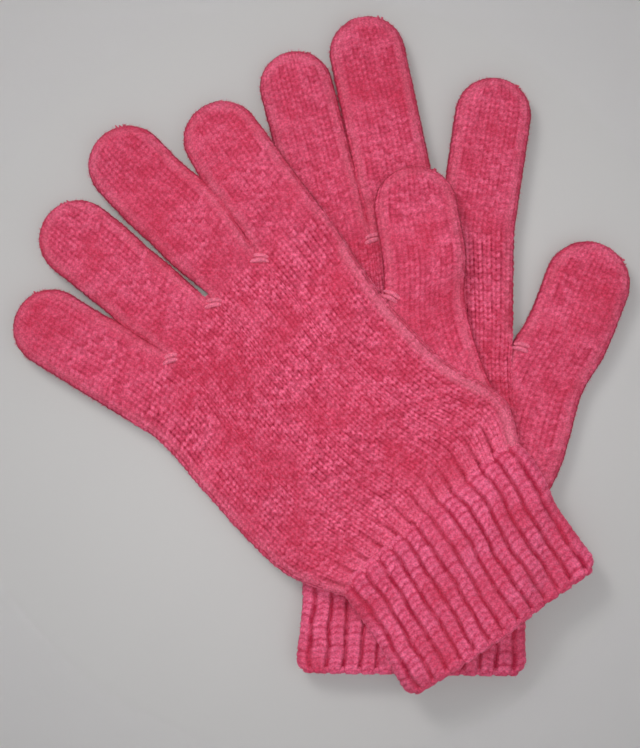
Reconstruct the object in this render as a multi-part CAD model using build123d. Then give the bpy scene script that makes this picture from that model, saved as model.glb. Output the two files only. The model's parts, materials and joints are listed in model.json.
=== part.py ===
from build123d import *
import os
from math import cos, radians, sin

# A pair of knitted gloves laid flat, one across the other. Units are millimetres, +Z is up and the
# gloves lie on z = 0. The origin is under the middle of the lower glove's wrist, +Y runs along its
# cuff towards the fingertips and +X towards its thumb.
# Each glove is drawn in its own flat frame, with its wrist at v = 0, its fingers along +v and its
# thumb on the +u side, and is then turned and moved to its place.

# Knitted fabric
GLOVE_THICKNESS = 7.6       # both layers of a flat glove with the hollow between them
WALL = 1.6                  # one layer of knitting
HINGE_GAP = 0.3             # between a part that bends and the part that it bends on
FINGER_GAP = 0.4            # between two fingers that lie side by side
FINGER_ROOT = 12.0          # how far a finger's strip starts inside the hand, before it is cut off
THUMB_BED_LEANS = [12.0, 100.0]     # of the lines that the thumb keeps between

# Cuff
WRIST_V = -3.0              # where the rib meets the hand
WRIST_HALF_WIDTH = 41.0
CUFF_LENGTH = 45.5          # along its middle
CUFF_HALF_WIDTH = 41.2      # at the mouth
CUFF_SKEW = -5.2            # degrees that the mouth is turned from square
CUFF_DRIFT = -6.0           # how far the mouth's middle lies from the glove's own axis
CUFF_CORNER = 4.0
MOUTH_RUN_ON = 10.0         # how far the hollow runs on past the mouth, so that it is open
WELT_LENGTH = 3.0           # the bound edge at the mouth
ELASTIC_THREADS = 6
ELASTIC_SIZE = 0.7

# Small trim
STITCH_RADIUS = 0.6
STITCH_SINK = 0.3            # how far a stitch's middle lies under the hand's top
STITCH_LENGTH = 4.0
STITCH_SPACING = 1.6
STITCH_SETBACK = 2.2        # from a crotch into the hand
THUMB_STITCH_SHIFT = (2.5, -1.0)    # of the thumb's crotch stitches from the end of its base
THUMB_STITCH_LEAN = 10.0
TAIL_RADIUS = 0.6
TAIL_LENGTH = 2.4
TAIL_ROOT = 1.0             # how much of it starts inside the fingertip
TAIL_TURN = 32.0            # degrees round the fingertip towards the thumb side

# The upper glove lies over the lower one and slopes down to the table along its far side
UPPER_LEVEL = GLOVE_THICKNESS + 0.6
SLOPE_DIRECTION = 15.0      # degrees from +Y towards -X of the line along which the slope runs
SLOPE_TOP = -46.0           # distances from the origin, square to that line
SLOPE_FOOT = -72.0
SLOPE_BLEND = 20.0          # radius where the slope starts and ends

FAR = 400.0                 # longer than anything here, for cutting shapes
UPWARD = (Align.CENTER, Align.CENTER, Align.MIN)
FINGERS = ["little", "ring", "middle", "index"]

# Each glove: where its wrist is, how far it is turned, the crotch between its ring and middle
# fingers, its two side edges from the wrist up, and its fingers as (base width, width, length from
# base to tip, lean towards the thumb side in degrees). A crotch line is the lean of the line that
# parts two neighbouring fingers. bend_at is how far from its base a finger bends; a part in hinged
# bends at its base.
LOWER = {
    "name": "lower",
    "place": (0.0, 0.0),
    "turn": 4.5,
    "mid_crotch": (-7.7, 108.3),
    "little": (29.0, 25.0, 46.0, -8.0),
    "ring": (25.5, 26.5, 72.5, -10.0),
    "middle": (25.0, 27.5, 79.0, -7.5),
    "index": (27.5, 27.5, 55.0, 13.0),
    "thumb": (29.9, 31.0, 49.6, 29.4),
    "crotch_lines": [-30.0, -9.0, -10.0, 3.0, 30.0],
    "little_edge": [(-45.0, 13.0), (-48.0, 30.0), (-51.0, 64.0), (-53.5, 88.0)],
    "thumb_edge": [(50.5, 12.0), (54.5, 20.0), (58.5, 31.5)],
    "thumb_base": [(64.0, 46.6), (40.0, 64.4)],
    "bend_at": {"middle": 26.0, "index": 23.0},
    "hinged": ["thumb"],
    "level": 0.0,
}
UPPER = {
    "name": "upper",
    "place": (3.8, 7.2),
    "turn": 40.1,
    "mid_crotch": (-9.7, 108.3),
    "little": (27.5, 28.0, 55.5, -18.0),
    "ring": (25.5, 28.5, 66.5, -11.5),
    "middle": (23.0, 29.5, 71.5, -3.3),
    "index": (28.3, 27.5, 56.5, 4.4),
    "thumb": (28.6, 30.0, 47.0, 33.8),
    "crotch_lines": [-30.0, -18.0, -10.5, 4.0, 30.0],
    "little_edge": [(-50.5, 10.0), (-55.0, 28.0), (-57.0, 60.0), (-57.5, 84.0)],
    "thumb_edge": [(47.0, 10.0), (47.5, 22.0), (54.5, 40.0)],
    "thumb_base": [(61.0, 51.0), (38.0, 68.0)],
    "bend_at": {"little": 23.0, "ring": 27.0, "middle": 28.0, "index": 25.0},
    "hinged": ["thumb", "cuff"],
    "level": UPPER_LEVEL,
}


def heading(lean):
    """The flat direction of a part that leans this many degrees from +v towards the thumb side."""
    return Vector(sin(radians(lean)), cos(radians(lean)))


def across(lean):
    """The flat direction square to heading(lean), towards the thumb side."""
    return Vector(cos(radians(lean)), -sin(radians(lean)))


def polygon(points):
    return make_face(Polyline(*points, close=True))


def crotches(glove):
    """The five points between and beside the four finger bases, from the little finger's side."""
    middle = Vector(*glove["mid_crotch"])
    ring_side = middle - across(glove["ring"][3]) * glove["ring"][0]
    little_side = ring_side - across(glove["little"][3]) * glove["little"][0]
    index_side = middle + across(glove["middle"][3]) * glove["middle"][0]
    thumb_side = index_side + across(glove["index"][3]) * glove["index"][0]
    return [little_side, ring_side, middle, index_side, thumb_side]


def base_ends(glove, finger):
    """The two ends of a finger's base, the little finger's side first."""
    if finger == "thumb":
        outer, web = glove["thumb_base"]
        return Vector(*web), Vector(*outer)
    points = crotches(glove)
    place = FINGERS.index(finger)
    return points[place], points[place + 1]


def finger_outline(glove, finger):
    """A round-ended strip from inside the hand to the fingertip."""
    width, length, lean = glove[finger][1:]
    start, end = base_ends(glove, finger)
    along = heading(lean)
    side = across(lean) * (width / 2)
    base = (start + end) / 2 - along * FINGER_ROOT
    top = (start + end) / 2 + along * (length - width / 2)
    strip = polygon([base - side, base + side, top + side, top - side])
    return strip + Pos(top.X, top.Y) * Circle(width / 2)


def finger_bed(glove, finger, gap):
    """The flat area that a finger may fill, in front of its base and between its neighbours."""
    start, end = base_ends(glove, finger)
    base_line = (end - start).normalized()
    outward = Vector(-base_line.Y, base_line.X)
    leans = THUMB_BED_LEANS
    if finger != "thumb":
        place = FINGERS.index(finger)
        leans = glove["crotch_lines"][place:place + 2]
    inset = base_line * (FINGER_GAP / 2)
    start = start + inset + outward * gap
    end = end - inset + outward * gap
    return polygon([start, end, end + heading(leans[1]) * FAR, start + heading(leans[0]) * FAR])


def hand_outline(glove):
    """The hand from the wrist to the bases of the fingers and thumb."""
    wrist_ends = [(-WRIST_HALF_WIDTH, WRIST_V), (WRIST_HALF_WIDTH, WRIST_V)]
    points = [wrist_ends[1], *glove["thumb_edge"], *glove["thumb_base"]]
    points += crotches(glove)[::-1] + glove["little_edge"][::-1] + [wrist_ends[0]]
    return polygon(points)


def cuff_corners(extra=0.0):
    """The four corners of the cuff, with its mouth moved out by extra."""
    mouth = Vector(CUFF_DRIFT, WRIST_V - CUFF_LENGTH) - heading(-CUFF_SKEW) * extra
    half = across(-CUFF_SKEW) * CUFF_HALF_WIDTH
    return [(-WRIST_HALF_WIDTH, WRIST_V), mouth - half, mouth + half, (WRIST_HALF_WIDTH, WRIST_V)]


def cuff_outline():
    mouth_corners = polygon(cuff_corners()).vertices().sort_by(Axis.Y)[:2]
    return fillet(mouth_corners, CUFF_CORNER)


def cuff_slab(start, length):
    """A thin slab across the cuff, parallel to its mouth and start away from it."""
    middle = Vector(CUFF_DRIFT, WRIST_V - CUFF_LENGTH) + heading(-CUFF_SKEW) * (start + length / 2)
    return Pos(middle.X, middle.Y, 0) * Rot(0, 0, CUFF_SKEW) * Box(FAR, length, FAR)


def whole_outline(glove):
    """Hand, fingers, thumb and cuff in one, run on past the cuff's mouth."""
    outline = hand_outline(glove) + polygon(cuff_corners(MOUTH_RUN_ON))
    for finger in FINGERS + ["thumb"]:
        outline += finger_outline(glove, finger) & finger_bed(glove, finger, 0.0)
    return outline


def flat_layer(glove, inset):
    """All the space between a glove's underside and its top, drawn in by inset at both."""
    height = GLOVE_THICKNESS - 2 * inset
    if glove["level"] == 0.0:
        return Pos(0, 0, inset) * Box(FAR, FAR, height, align=UPWARD)
    foot, top, level = SLOPE_FOOT, SLOPE_TOP, glove["level"]
    under = [(-FAR, inset), (foot, inset), (top, level + inset), (FAR, level + inset)]
    over = [(s, z + height) for s, z in reversed(under)]
    profile = polygon(under + over)
    bends = [v for v in profile.vertices() if abs(v.X) < FAR / 2]
    profile = fillet(bends, SLOPE_BLEND)
    side_on = Plane(origin=(0, 0, 0), x_dir=(1, 0, 0), z_dir=(0, -1, 0))
    return Rot(0, 0, SLOPE_DIRECTION) * extrude(side_on * profile, FAR / 2, both=True)


def place(glove, shape):
    """Turn and move a shape from a glove's own flat frame to where the glove lies."""
    return Pos(*glove["place"], 0) * Rot(0, 0, glove["turn"]) * shape


def upright(glove, outline):
    """A tall prism on a flat outline, in its place."""
    return place(glove, extrude(outline, FAR / 2, both=True))


def top_height(glove, point):
    """Height of the glove's top over a point of its own frame, with the slope's ends unblended."""
    if glove["level"] == 0.0:
        return GLOVE_THICKNESS
    spot = place(glove, Pos(point.X, point.Y) * Vertex(0, 0, 0)).center()
    slope = radians(SLOPE_DIRECTION)
    distance = spot.X * cos(slope) + spot.Y * sin(slope)
    share = (distance - SLOPE_FOOT) / (SLOPE_TOP - SLOPE_FOOT)
    return GLOVE_THICKNESS + glove["level"] * min(1.0, max(0.0, share))


def capsule(start, end, radius):
    """A short round-ended thread from start to end."""
    run = end - start
    rod = Plane(origin=start, z_dir=run) * Cylinder(radius, run.length, align=UPWARD)
    return rod + Pos(*start) * Sphere(radius) + Pos(*end) * Sphere(radius)


def crotch_stitches(glove, body):
    """Pairs of closing stitches on the hand at each crotch, with the part inside the hand cut off."""
    inner = crotches(glove)[1:4]
    spots = [(point, glove["crotch_lines"][1 + number]) for number, point in enumerate(inner)]
    thumb_spot = Vector(*glove["thumb_base"][1]) + Vector(*THUMB_STITCH_SHIFT)
    spots.append((thumb_spot, THUMB_STITCH_LEAN))
    stitches = []
    for point, lean in spots:
        for row in range(2):
            middle = point - heading(lean) * (STITCH_SETBACK + row * STITCH_SPACING)
            half = across(lean) * (STITCH_LENGTH / 2)
            ends = [middle - half, middle + half]
            ends = [Vector(end.X, end.Y, top_height(glove, end) - STITCH_SINK) for end in ends]
            stitches.append(place(glove, capsule(*ends, STITCH_RADIUS)) - body)
    return stitches


def closing_tail(glove, finger, body):
    """The short end of yarn left where a fingertip is closed."""
    width, length, lean = glove[finger][1:]
    start, end = base_ends(glove, finger)
    centre = (start + end) / 2 + heading(lean) * (length - width / 2)
    way = heading(lean + TAIL_TURN)
    root = centre + way * (width / 2 - TAIL_ROOT)
    tip = root + way * TAIL_LENGTH
    height = top_height(glove, tip) - GLOVE_THICKNESS / 2
    ends = [Vector(spot.X, spot.Y, height) for spot in (root, tip)]
    return place(glove, capsule(*ends, TAIL_RADIUS)) - body


def bend_line(glove, finger):
    """The two ends of the line that a finger or thumb bends on, level with the top of the glove."""
    start, end = base_ends(glove, finger)
    if finger in glove["bend_at"]:
        width, length, lean = glove[finger][1:]
        middle = (start + end) / 2 + heading(lean) * glove["bend_at"][finger]
        start, end = middle - across(lean) * (width / 2), middle + across(lean) * (width / 2)
    height = max(top_height(glove, start), top_height(glove, end))
    return Vector(start.X, start.Y, height), Vector(end.X, end.Y, height)


def build_glove(glove):
    """All the nodes of one glove, by name."""
    name = glove["name"]
    outside = flat_layer(glove, 0.0)
    hollow = upright(glove, offset(whole_outline(glove), -WALL)) & flat_layer(glove, WALL)
    deeper = WALL - ELASTIC_SIZE
    thread_seat = upright(glove, offset(whole_outline(glove), -deeper)) & flat_layer(glove, deeper)
    thread_seat -= hollow
    nodes = {}

    hand_body = upright(glove, hand_outline(glove)) & outside
    nodes[name + "_hand"] = hand_body - hollow
    nodes[name + "_crotch_stitches"] = crotch_stitches(glove, hand_body)

    for finger in FINGERS + ["thumb"]:
        gap = HINGE_GAP if finger in glove["hinged"] else 0.0
        outline = finger_outline(glove, finger) & finger_bed(glove, finger, gap)
        body = upright(glove, outline) & outside
        shell = body - hollow
        label = finger if finger == "thumb" else finger + "_finger"
        nodes[name + "_" + finger + "_tail"] = closing_tail(glove, finger, body)
        if finger in glove["bend_at"]:
            start, end = bend_line(glove, finger)
            bend = (start + end) / 2
            ahead = Pos(bend.X, bend.Y, 0) * Rot(0, 0, -glove[finger][3])
            near_half = ahead * Pos(0, -FAR / 2, 0) * Box(FAR, FAR, FAR)
            far_half = ahead * Pos(0, FAR / 2 + HINGE_GAP, 0) * Box(FAR, FAR, FAR)
            nodes[name + "_" + finger + "_fingertip"] = shell & place(glove, far_half)
            shell = shell & place(glove, near_half)
        nodes[name + "_" + label] = shell

    gap = HINGE_GAP if "cuff" in glove["hinged"] else 0.0
    below_wrist = Pos(0, WRIST_V - gap - FAR / 2, 0) * Box(FAR, FAR, FAR)
    cuff = upright(glove, cuff_outline()) & outside & place(glove, below_wrist)
    cuff -= hollow
    threads = []
    spacing = (CUFF_LENGTH - WELT_LENGTH) / (ELASTIC_THREADS + 1)
    for number in range(ELASTIC_THREADS):
        slab = place(glove, cuff_slab(WELT_LENGTH + spacing * (number + 0.5), ELASTIC_SIZE))
        threads.append(thread_seat & slab)
    for thread in threads:
        cuff -= thread
    welt_slab = place(glove, cuff_slab(0.0, WELT_LENGTH))
    nodes[name + "_cuff_welt"] = cuff & welt_slab
    nodes[name + "_cuff"] = cuff - welt_slab
    nodes[name + "_cuff_elastic"] = threads
    return nodes


def report_hinges(glove):
    """Print where each bending part turns: a point on its line and the line's direction, in mm."""
    for finger in FINGERS + ["thumb"]:
        if finger in glove["bend_at"] or finger in glove["hinged"]:
            ends = [place(glove, Pos(*spot) * Vertex(0, 0, 0)).center() for spot in bend_line(glove, finger)]
            middle = (ends[0] + ends[1]) / 2
            line = (ends[1] - ends[0]).normalized()
            print(glove["name"], finger, [round(c, 2) for c in middle], [round(c, 5) for c in line])


def main():
    os.makedirs("parts", exist_ok=True)
    for glove in (LOWER, UPPER):
        for node, shape in build_glove(glove).items():
            solid = Compound(children=shape) if isinstance(shape, list) else shape
            export_step(solid, f"parts/{node}.step")
        report_hinges(glove)


if __name__ == "__main__":
    main()
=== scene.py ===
import json
from collections import namedtuple
from math import cos, pi, radians, sin, sqrt

import bpy
import numpy as np
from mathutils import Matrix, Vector


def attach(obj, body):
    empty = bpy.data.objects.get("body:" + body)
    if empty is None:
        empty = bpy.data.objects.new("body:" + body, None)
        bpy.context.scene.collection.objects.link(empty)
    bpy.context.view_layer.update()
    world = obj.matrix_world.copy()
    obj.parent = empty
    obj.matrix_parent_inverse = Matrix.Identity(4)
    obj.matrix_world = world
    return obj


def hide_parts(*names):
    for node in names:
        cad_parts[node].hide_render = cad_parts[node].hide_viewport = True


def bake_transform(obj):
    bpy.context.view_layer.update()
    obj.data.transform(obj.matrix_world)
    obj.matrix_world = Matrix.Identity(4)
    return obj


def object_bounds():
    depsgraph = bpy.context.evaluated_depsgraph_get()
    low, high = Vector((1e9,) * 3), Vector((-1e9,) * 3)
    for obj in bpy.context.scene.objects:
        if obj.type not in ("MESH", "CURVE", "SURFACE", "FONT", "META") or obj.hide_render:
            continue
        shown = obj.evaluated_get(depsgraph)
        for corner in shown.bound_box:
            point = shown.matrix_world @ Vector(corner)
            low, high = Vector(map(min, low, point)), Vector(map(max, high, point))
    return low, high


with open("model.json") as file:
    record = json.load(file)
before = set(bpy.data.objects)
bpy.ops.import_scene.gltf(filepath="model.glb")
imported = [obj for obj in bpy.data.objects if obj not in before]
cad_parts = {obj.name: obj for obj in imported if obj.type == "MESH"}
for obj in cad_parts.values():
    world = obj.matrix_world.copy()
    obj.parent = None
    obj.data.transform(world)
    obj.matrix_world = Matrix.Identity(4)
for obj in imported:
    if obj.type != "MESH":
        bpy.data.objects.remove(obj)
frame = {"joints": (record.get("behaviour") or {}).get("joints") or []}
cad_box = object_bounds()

# A pair of knitted gloves, the right one palm up and the left one, back up, lying across it.
# Shapes are worked out in millimetres: first flat in each glove's own frame, with the wrist at
# WRIST_V, the fingers along +v and the thumb on the +u side, and then draped in the shared frame.
# Every knitted piece is a grid that follows the fabric's wales (columns) and courses (rows), and
# its stitches are raised from that grid.

MM = 0.001
FINGERS = ["little", "ring", "middle", "index"]
WRIST_V = -3.0

# Fabric
HAND_THICKNESS = 6.4        # of a flat glove, between the middles of its two outer faces
FINGER_THICKNESS = 7.2
CUFF_THICKNESS = 7.0
EDGE_ROUND = 6.5            # how far in from an edge the flat glove reaches its full thickness
FOLD_ROUND = 4.2            # the same at the fold of the palm over the thumb's root
WALE = 2.8                  # width of a stitch
COURSE = 2.05               # height of a stitch
STITCH_RELIEF = 0.84
FINGER_RELIEF = 0.60        # share of that relief on the fingers, whose pile is fuller
FINGER_COURSES = 1.05       # how much closer the courses lie there
RELIEF_ABOVE = 0.4          # share of the relief that stands above the fabric's middle face
RELIEF_MIDDLE = 0.62        # height that the fingers' softer relief keeps
WALE_STEPS = 6              # mesh steps across a stitch
COURSE_STEPS = 4            # and along it
LEG_APART = 0.66            # from a stitch's middle to the middle of each of its two legs
LEG_HALF_WIDTH = 0.80
TABLE_GAP = 0.45            # keeps the stitches of the underside off the table
THINNEST = 0.12             # half the thickness left at an edge
AROUND_EDGE = 1.25          # length of the fabric that goes round an edge, for an edge 1 wide
FIBRE_LENGTH = (0.7, 1.7)   # of the loose ends that stand up from the yarn
FIBRE_WIDTH = 0.13
FIBRE_LOWEST = 0.02         # height that keeps their tips above the table
FIBRES = {"finger": 3600, "thumb": 4200, "hand": 9000, "cuff": 5000}
DICE_SHAPE = (97, 89)       # wales and courses before the stitches' own differences repeat
BATCH = 4096                # points measured against a line at a time, to spare memory

# Joins between pieces
FINGER_ROOT_ROWS = [-4.5, -2.5, -1.2]   # rows of a finger that start inside the hand
HAND_IN_CUFF = (4.0, 1.5)               # rows of the hand that go on into the cuff
HAND_IN_FINGERS = (1.2, 3.0)            # and into the fingers
THUMB_BOW = 1.0                         # how far the thumb bows out to its side
THUMB_BOW_AT = 12.0                     # and how far past its base
THUMB_WEB_INSET = 0.06                  # share of half its width by which it passes the crotch
FINGER_BEND = (7.0, 8.0)                # zone before and after a finger's hinge, in millimetres
THUMB_BEND = (5.0, 9.0)
CUFF_BEND = (2.0, 12.0)

# Cuff
RIBS = 14                   # on each side of the cuff
RIB_STEPS = 14              # mesh steps across a rib
RIB_RELIEF = 1.4
RIB_COURSE = 2.3
CUFF_LENGTH = 45.5
CUFF_HALF_WIDTH = 41.2
CUFF_HALF_START = 39.9      # half its width where it starts inside the hand
HALF_WRIST = 41.0
CUFF_BOW = 1.3              # how far its sides draw in halfway to the mouth
CUFF_SKEW = -5.2            # lean of its mouth, in degrees
CUFF_DRIFT = -6.0           # place of the mouth's middle along u
CUFF_OVERLAP = 5.0          # how far the rib starts inside the hand
MOUTH_CORNER = 3.6          # radius of the soft corners of the cuff's mouth
CUFF_WALL = 2.4
CUFF_GAPE = 0.6             # how much thicker the cuff gets towards its mouth
CUFF_WELT_GAP = 0.35        # keeps the fuller bound edge off the table
CUFF_SINK = 1.1             # how far it draws in where it starts inside the hand
LIP_REACH = 1.2             # how far the lip of the mouth curls past its last row
CUFF_DEPTH = 26.0           # how far the open mouth goes in
CUFF_COURSES = round((CUFF_LENGTH + CUFF_OVERLAP) / RIB_COURSE)
CUFF_ROWS = CUFF_COURSES * COURSE_STEPS + 1

# Threads
ELASTIC_THREADS = 6
ELASTIC_INSET = 3.0         # from the mouth to the stretch that the threads share
ELASTIC_RADIUS = 0.35
CLOSING_STRANDS = 2         # at each crotch
CLOSING_RADIUS = 0.9
TAIL_STRANDS = 5            # at each fingertip
TAIL_RADIUS = 0.48
TAIL_LEAN = 32.0            # how much farther than its finger a tail leans towards the thumb
NO_THREAD = (0.13, 0.21, 0.97)      # a way in which no thread runs, to lay out their rings from

# Draping of the upper glove
DRAPE_CELL = 2.0
DRAPE_BORDER = 12.0         # how far its grid goes past the CAD's box
DRAPE_REACH = 28.0          # distance in which it comes down from the lower glove to the table
DRAPE_GAP = 0.5
DRAPE_ROUNDS = 500
DRAPE_MARGIN = 3            # cells around its footprint where the support counts too
DRAPE_SMOOTHING = 3         # rounds at the end
CUFF_LIFT = 3.95            # height that the stiff upper cuff keeps where it hangs over

# Stage
AIM = (-0.0348, 0.0574, 0.008)
CAMERA_DISTANCE = 0.62
CAMERA_TILT = 1.5           # degrees from straight down
POOL_SPREAD = 26.0          # degrees, of the lamp straight above, which lights the middle most

# Widths at the base and past it, length from base to tip, lean towards the thumb in degrees, and
# wales on each side of the glove
Finger = namedtuple("Finger", "base_width width length lean wales")

LOWER = {
    "name": "lower",
    "root": "lower_glove",
    "cuff_body": "lower_glove",
    "cuff_lift": 0.0,
    "rib_start": -4.5,
    "place": (0.0, 0.0),
    "turn": 4.5,
    "mid_crotch": (-7.7, 108.3),
    # for each pair of neighbours from the little finger: how far each side reaches over the line
    # between them beside the crotch and farther out, and how far from the crotch that ends
    "touch": [(0.5, 0.75, 26.0), (0.3, 0.5, 26.0), (0.0, 0.0, 26.0)],
    "closing_leans": [-18.0, -10.5, 4.0, 20.0],
    "closing_rise": 0.2,
    "little": Finger(29.0, 25.0, 46.0, -8.0, 8),
    "ring": Finger(25.5, 26.5, 72.5, -10.0, 9),
    "middle": Finger(25.0, 27.5, 79.0, -7.5, 9),
    "index": Finger(27.5, 27.5, 55.0, 13.0, 9),
    "thumb": Finger(29.9, 31.0, 49.6, 29.4, 9),
    "little_edge": [(-41.0, -3.0), (-45.0, 13.0), (-48.0, 30.0), (-52.5, 60.0), (-58.0, 84.0)],
    "palm_edge": [(41.0, -3.0), (40.5, 12.0), (39.5, 35.0), (39.0, 58.0), (40.5, 70.0)],
    "palm_edge_round": 0.0,
    "web": (40.0, 64.4),
    "root_inner": [(24.0, -2.0), (24.0, 20.0), (27.0, 44.0)],
    "root_outer": [(40.5, -2.0), (49.5, 12.0), (54.0, 20.0), (58.5, 31.5), (64.0, 46.0)],
    "crease_drop": 0.0,
}
UPPER = {
    "name": "upper",
    "root": "upper_hand",
    "cuff_body": "upper_cuff",
    "cuff_lift": CUFF_LIFT,
    "rib_start": -26.0,
    "place": (3.8, 7.2),
    "turn": 40.1,
    "mid_crotch": (-9.7, 108.3),
    "touch": [(0.35, 0.75, 26.0), (-0.95, -0.95, 38.0), (0.3, 1.3, 42.0)],
    "closing_leans": [22.0, 30.0, 44.0, 60.0],
    "closing_rise": 0.5,
    "little": Finger(27.5, 28.0, 55.5, -18.0, 8),
    "ring": Finger(25.5, 28.5, 66.5, -11.5, 9),
    "middle": Finger(23.0, 29.0, 71.5, -3.3, 9),
    "index": Finger(28.3, 27.5, 56.5, 4.4, 9),
    "thumb": Finger(28.6, 30.0, 47.0, 33.8, 9),
    "little_edge": [(-41.0, -3.0), (-47.5, 6.0), (-53.0, 17.0), (-55.3, 32.0), (-56.5, 60.0),
                    (-57.5, 84.0)],
    "palm_edge": [(40.0, -3.0), (44.5, 5.0), (47.3, 12.5), (46.0, 20.5), (42.2, 30.0), (39.6, 40.0),
                  (38.3, 54.0), (37.8, 72.0), (39.8, 90.0)],
    "palm_edge_round": 1.0,
    "web": (38.0, 68.0),
    "root_inner": [(30.0, 6.0), (25.0, 18.0), (24.0, 36.0), (28.0, 56.0)],
    "root_outer": [(43.0, 6.0), (45.5, 14.0), (48.8, 26.0), (54.5, 40.0), (61.0, 52.0)],
    "crease_drop": 3.3,
}

rng = np.random.default_rng(7)
STITCH_DICE = rng.random((*DICE_SHAPE, 4))


def heading(lean):
    """The way in which something that leans so many degrees towards the thumb points."""
    return np.array([sin(radians(lean)), cos(radians(lean))])


def across(lean):
    """The way square to that heading, on the thumb's side."""
    return np.array([cos(radians(lean)), -sin(radians(lean))])


def smoothstep(low, high, value):
    """A soft step from 0 at low to 1 at high."""
    share = np.clip((value - low) / (high - low), 0.0, 1.0)
    return share * share * (3 - 2 * share)


def along(points, count):
    """A smooth curve through the points, as count points evenly spaced along it."""
    points = np.array(points, float)
    knots = np.concatenate([[0], np.cumsum(np.linalg.norm(np.diff(points, axis=0), axis=1))])
    slopes = np.gradient(points, knots, axis=0)
    fine = np.linspace(0, knots[-1], 40 * len(points))
    span = np.clip(np.searchsorted(knots, fine, side="right") - 1, 0, len(knots) - 2)
    width = knots[span + 1] - knots[span]
    x = ((fine - knots[span]) / width)[:, None]
    width = width[:, None]
    curve = (2 * x**3 - 3 * x**2 + 1) * points[span] + (x**3 - 2 * x**2 + x) * width * slopes[span]
    curve += (3 * x**2 - 2 * x**3) * points[span + 1] + (x**3 - x**2) * width * slopes[span + 1]
    run = np.concatenate([[0], np.cumsum(np.linalg.norm(np.diff(curve, axis=0), axis=1))])
    even = np.linspace(0, run[-1], count)
    return np.stack([np.interp(even, run, curve[:, axis]) for axis in (0, 1)], axis=1)


def wrapped(share, half_width, roundness):
    """Where a wale lies across a flat tube, from -1 to 1, with wales crowding as they turn under.
    roundness is 0 on a side that doesn't turn under."""
    edge = min(EDGE_ROUND, half_width * 0.8)
    quarter = edge * AROUND_EDGE
    flat = half_width - edge
    reach = np.abs(share) * (flat + quarter)
    turn = np.clip((reach - flat) / quarter, 0, 1) * pi / 2
    bent = np.where(reach < flat, reach, flat + edge * np.sin(turn)) / half_width
    return np.sign(share) * (roundness * bent + (1 - roundness) * np.abs(share))


def wale_shares(wales):
    """The mesh's columns across so many wales, from -1 to 1."""
    return np.linspace(-1, 1, wales * WALE_STEPS + 1)


def crotches(glove):
    """The five ends of the four finger bases, from the little finger's side."""
    base = {finger: across(glove[finger].lean) * glove[finger].base_width for finger in FINGERS}
    middle = np.array(glove["mid_crotch"])
    ring_side = middle - base["ring"]
    index_side = middle + base["middle"]
    return [ring_side - base["little"], ring_side, middle, index_side, index_side + base["index"]]


def slit_strength(distance):
    """How deep the valley between two fingers is, by the distance from their crotch."""
    return 0.42 + 0.58 * smoothstep(0.0, 10.0, distance)


def press(glove, pair, distance):
    """How far a finger's side reaches over the line between it and its neighbour."""
    near, far, end = glove["touch"][pair]
    reach = near * smoothstep(-1.0, 3.0, distance) + (far - near) * smoothstep(6.0, 0.7 * end, distance)
    return reach * (1 - smoothstep(0.75 * end, 1.15 * end, distance))


def finger_sides(glove, finger, distance):
    """The left and right side points of a finger at each distance from its base."""
    place = FINGERS.index(finger)
    start, end = crotches(glove)[place:place + 2]
    base = (start + end) / 2
    side = across(glove[finger].lean)
    half = side * glove[finger].width / 2
    middle = base + np.outer(distance, heading(glove[finger].lean))
    settle = (1 - smoothstep(-4.0, 24.0, distance))[:, None]
    left = middle - half + (start - (base - half)) * settle
    right = middle + half + (end - (base + half)) * settle
    if finger != "little":
        left = left - np.outer(press(glove, place - 1, distance), side)
    if finger != "index":
        right = right + np.outer(press(glove, place, distance), side)
    return left, right


def side_roundness(finger, distance):
    """How much the wales turn under at a finger's two sides, at each distance from its base."""
    outer = np.ones_like(distance)
    inner = slit_strength(distance)
    return (outer if finger == "little" else inner), (outer if finger == "index" else inner)


def across_row(left, right, shares, left_round, right_round):
    """Points from left to right for shares from -1 to 1, crowded where the sides turn under."""
    half = np.linalg.norm(right - left, axis=1)[:, None] / 2
    half_mean = float(half.mean())
    round_to = np.where(shares[None, :] < 0, left_round[:, None], right_round[:, None])
    place = wrapped(shares[None, :], half_mean, round_to)
    middle = (left + right)[:, None] / 2
    return middle + place[:, :, None] * (right - left)[:, None] / 2


def cap_row_count(shape, step):
    """How many rows of a given height close a fingertip, which is longer the way round its edge."""
    return round((shape.width / 2 + EDGE_ROUND * (AROUND_EDGE - 1)) / step)


def tip_cap(left, right, direction, shares, rows):
    """Rows that close a round fingertip, past the row from left to right."""
    radius = np.linalg.norm(right - left) / 2
    side = (right - left) / (2 * radius)
    x = wrapped(shares, radius, 1.0)[None, :]
    y = wrapped(np.linspace(0, 1, rows + 1)[1:], radius, 1.0)[:, None]
    u = x * np.sqrt(1 - y**2 / 2) * radius
    v = y * np.sqrt(1 - x**2 / 2) * radius
    return (left + right) / 2 + u[:, :, None] * side + v[:, :, None] * direction


def finger_plan(glove, finger):
    """Flat places of a finger's grid, its wales and courses, and the distance of each row."""
    shape = glove[finger]
    columns = wale_shares(shape.wales)
    straight = shape.length - shape.width / 2
    courses = round(straight / COURSE * FINGER_COURSES)
    distance = np.linspace(0, straight, courses * COURSE_STEPS + 1)
    step = distance[1]
    distance = np.concatenate([FINGER_ROOT_ROWS, distance])
    left, right = finger_sides(glove, finger, distance)
    rows = across_row(left, right, columns, *side_roundness(finger, distance))
    cap_rows = cap_row_count(shape, step)
    cap = tip_cap(left[-1], right[-1], heading(shape.lean), columns, cap_rows)
    plan = np.concatenate([rows, cap])
    distance = np.concatenate([distance, straight + step * np.arange(1, cap_rows + 1)])
    return plan, (columns + 1) / 2 * shape.wales, distance / step / COURSE_STEPS, distance


def outline_of(plan, first_row=0):
    """The left side, tip and right side of a finger's grid as one line."""
    return np.concatenate([plan[first_row:, 0], plan[-1, 1:-1], plan[first_row:, -1][::-1]])


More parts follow.
